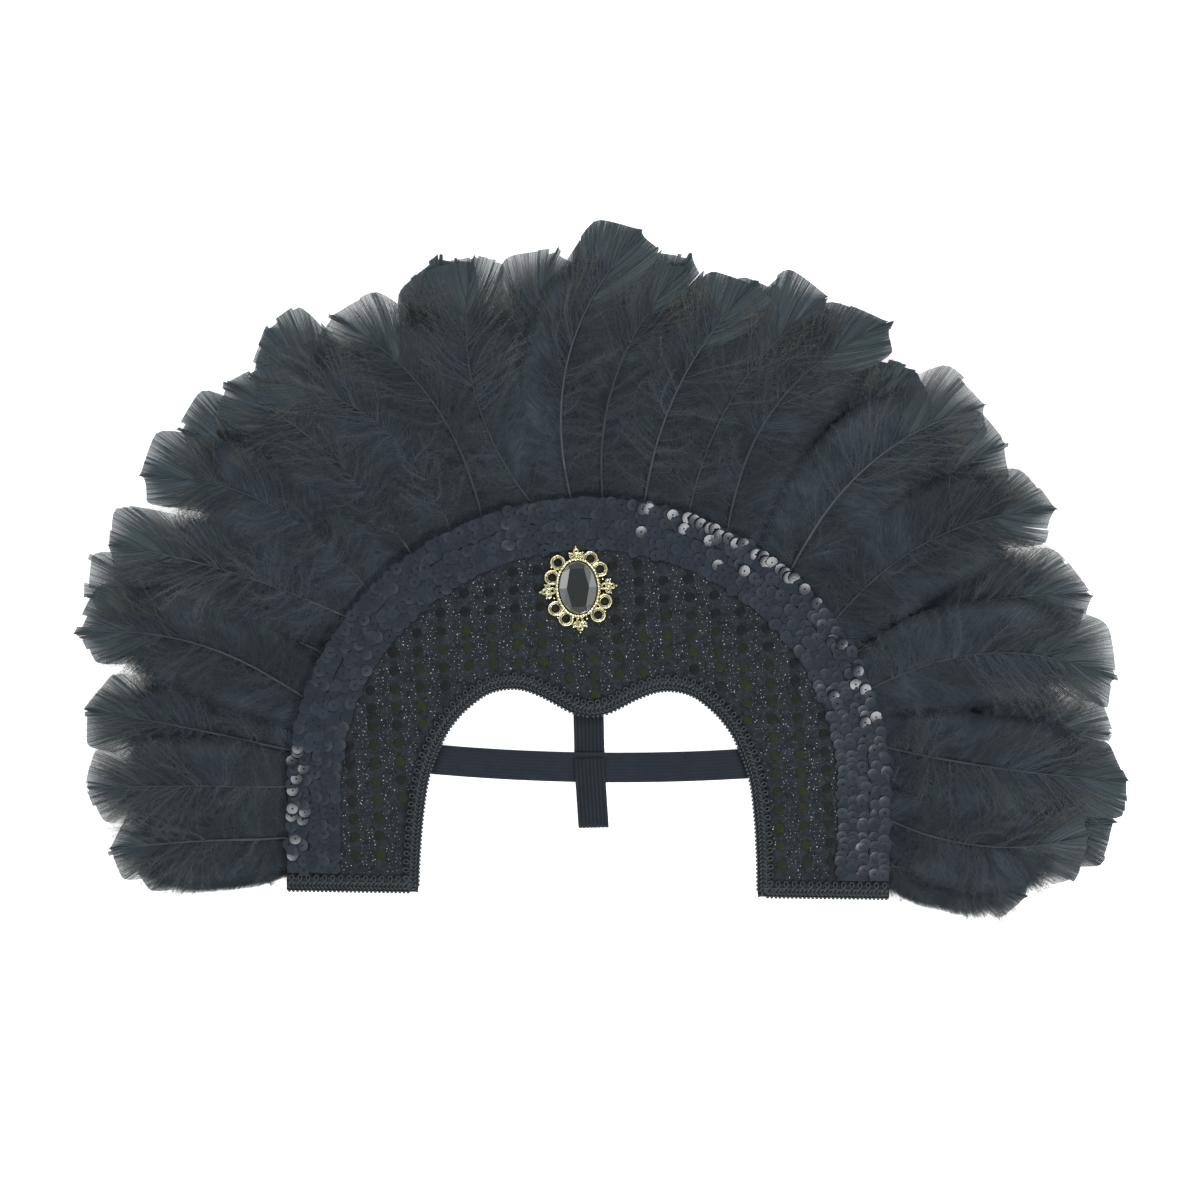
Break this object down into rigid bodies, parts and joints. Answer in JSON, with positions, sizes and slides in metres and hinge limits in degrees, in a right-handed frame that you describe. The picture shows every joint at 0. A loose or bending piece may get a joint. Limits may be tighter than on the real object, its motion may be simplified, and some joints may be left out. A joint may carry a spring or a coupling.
{
  "type": "feather headdress",
  "caption": "Flat arch headdress with a fan of overlapping feathers, sequin trims, a braided brow edge with two scallops, a cast brooch and two crossing elastics.",
  "frame": {"origin": "the middle of the crown elastic's underside, on the surface that the headdress lies on, under the crossing of the two elastics", "axes": "+X to the wearer's left as seen in the picture's right, +Y from the feet of the arch to the top of the fan, +Z out of the front of the panel"},
  "size_m": [0.5281, 0.3487, 0.0153],
  "materials": {
    "dotted_cloth": "matt knit with glued spangle dots",
    "gimp_braid": "silky twisted cord",
    "feather": "dyed feather, downy at the root and sleek at the tip",
    "sequin": "glossy cup sequins",
    "cast_gold": "polished gold plate",
    "black_stone": "faceted and polished",
    "elastic": "ribbed woven elastic"
  },
  "bodies": {
    "root": {"panel": "dotted_cloth", "braid_trim": "gimp_braid", "feather_row_back": "feather", "feather_row_front": "feather", "sequin_trim_outer": "sequin", "sequin_trim_inner": "sequin", "brooch_setting": "cast_gold", "brooch_stone": "black_stone", "head_elastic": "elastic", "crown_elastic": "elastic"}
  },
  "joints": []
}
